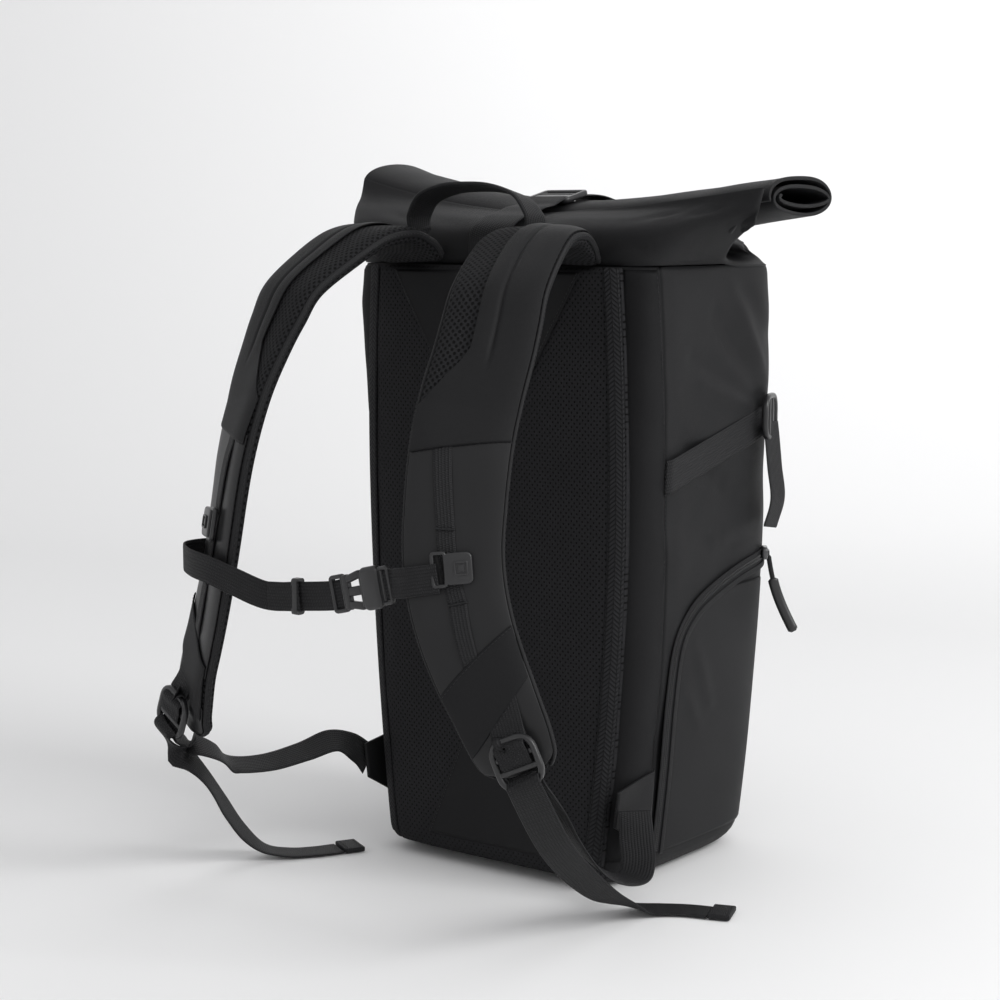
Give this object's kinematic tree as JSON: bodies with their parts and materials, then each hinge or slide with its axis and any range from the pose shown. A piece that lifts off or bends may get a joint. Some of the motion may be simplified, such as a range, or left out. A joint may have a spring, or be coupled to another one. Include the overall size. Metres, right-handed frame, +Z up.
{
  "type": "rolltop backpack",
  "caption": "Tall black backpack with a rolled and hooked top, padded mesh back and shoulder straps, a chest strap and a zipped side pocket.",
  "frame": {"origin": "the middle of the flat base, on the surface that it stands on", "axes": "+Z up, the wearer's side with the shoulder straps faces -Y, +X is to the right of a viewer who looks at that side"},
  "size_m": [0.4009, 0.4181, 0.5338],
  "materials": {
    "nylon": "matte black plain-weave nylon",
    "air_mesh": "black spacer mesh with rows of small holes",
    "smooth_panel": "smooth black film with a satin sheen",
    "webbing": "black ribbed webbing",
    "black_plastic": "satin black moulded plastic",
    "zip_tape": "black zip tape with coil teeth",
    "dark_metal": "black painted metal"
  },
  "bodies": {
    "root": {"pack_body": "nylon", "back_pad": "air_mesh", "yoke_facing": "nylon", "lumbar_facing": "nylon", "collar": "nylon", "roll": "nylon", "closure_web_back": "webbing", "closure_web_front": "webbing", "closure_buckle": "black_plastic", "shoulder_pad_right": "air_mesh", "strap_panel_right": "smooth_panel", "strap_patch_right": "nylon", "strap_tip_right": "smooth_panel", "rail_web_right": "webbing", "ladder_lock_right": "black_plastic", "adjuster_web_right": "webbing", "shoulder_pad_left": "air_mesh", "strap_panel_left": "smooth_panel", "strap_patch_left": "nylon", "strap_tip_left": "smooth_panel", "rail_web_left": "webbing", "ladder_lock_left": "black_plastic", "adjuster_web_left": "webbing", "lower_web_right": "webbing", "tail_web_right": "webbing", "tail_end_right": "webbing", "lower_web_left": "webbing", "tail_web_left": "webbing", "tail_end_left": "webbing", "anchor_tab_right": "nylon", "anchor_tab_left": "nylon", "sternum_web_right": "webbing", "sternum_web_left": "webbing", "sternum_slider_right": "black_plastic", "sternum_slider_left": "black_plastic", "buckle_socket": "black_plastic", "buckle_plug": "black_plastic", "sternum_keeper": "black_plastic", "handle": "webbing", "side_strap_right": "webbing", "side_lock_right": "black_plastic", "side_tail_right": "webbing", "side_strap_left": "webbing", "side_lock_left": "black_plastic", "side_tail_left": "webbing", "zip_band": "zip_tape", "side_door": "nylon", "zip_slider": "dark_metal", "zip_pull": "webbing"}
  },
  "joints": []
}
